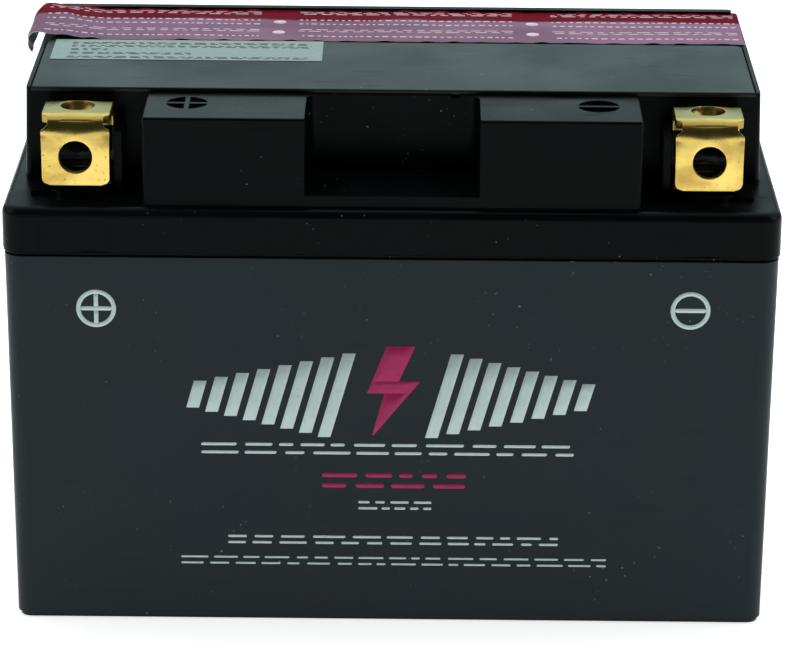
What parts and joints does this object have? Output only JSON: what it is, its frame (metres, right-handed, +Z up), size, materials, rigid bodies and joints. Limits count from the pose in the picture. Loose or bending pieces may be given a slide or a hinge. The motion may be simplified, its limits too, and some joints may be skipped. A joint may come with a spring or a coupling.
{
  "type": "motorcycle battery",
  "caption": "Sealed lead-acid motorcycle battery with a stepped lid, recessed front terminals and a peel-off foil over its filler ports.",
  "frame": {"origin": "centre of the underside, on the surface it stands on", "axes": "+X along the length towards the negative terminal, -Y out of the front, terminal side, +Z up"},
  "size_m": [0.15, 0.087, 0.1057],
  "materials": {
    "case_plastic": "satin",
    "lid_plastic": "satin",
    "cover_plastic": "satin",
    "valve_rubber": "matte",
    "filter_felt": "matte",
    "terminal_brass": "satin",
    "lead": "satin",
    "resin": "gloss",
    "negative_paste": "matte",
    "positive_paste": "matte",
    "glass_mat": "matte",
    "seal_foil": "gloss",
    "label_paper": "satin"
  },
  "bodies": {
    "battery": {"case": "case_plastic", "lid": "lid_plastic", "cover_plate": "cover_plastic", "vent_filter_disc": "filter_felt", "positive_terminal": "terminal_brass", "positive_post": "lead", "positive_bushing": "lead", "positive_resin_seal": "resin", "negative_terminal": "terminal_brass", "negative_post": "lead", "negative_bushing": "lead", "negative_resin_seal": "resin", "negative_plates_1": "negative_paste", "positive_plates_1": "positive_paste", "glass_mat_separators_1": "glass_mat", "negative_strap_1": "lead", "positive_strap_1": "lead", "negative_plates_2": "negative_paste", "positive_plates_2": "positive_paste", "glass_mat_separators_2": "glass_mat", "negative_strap_2": "lead", "positive_strap_2": "lead", "negative_plates_3": "negative_paste", "positive_plates_3": "positive_paste", "glass_mat_separators_3": "glass_mat", "negative_strap_3": "lead", "positive_strap_3": "lead", "negative_plates_4": "negative_paste", "positive_plates_4": "positive_paste", "glass_mat_separators_4": "glass_mat", "negative_strap_4": "lead", "positive_strap_4": "lead", "negative_plates_5": "negative_paste", "positive_plates_5": "positive_paste", "glass_mat_separators_5": "glass_mat", "negative_strap_5": "lead", "positive_strap_5": "lead", "negative_plates_6": "negative_paste", "positive_plates_6": "positive_paste", "glass_mat_separators_6": "glass_mat", "negative_strap_6": "lead", "positive_strap_6": "lead", "intercell_weld_1": "lead", "intercell_weld_2": "lead", "intercell_weld_3": "lead", "intercell_weld_4": "lead", "intercell_weld_5": "lead", "top_label": "label_paper"},
    "foil_seal": {"foil_seal": "seal_foil"},
    "relief_valve": {"relief_valve_cap": "valve_rubber"}
  },
  "joints": [
    {"name": "foil_peel", "type": "slide", "parent": "battery", "child": "foil_seal", "axis": [0, 0, 1], "range_m": [0, 0.06]},
    {"name": "relief_valve_lift", "type": "slide", "parent": "battery", "child": "relief_valve", "axis": [0, 0, 1], "range_m": [0, 0.0008], "stiffness_N_per_m": 80}
  ]
}
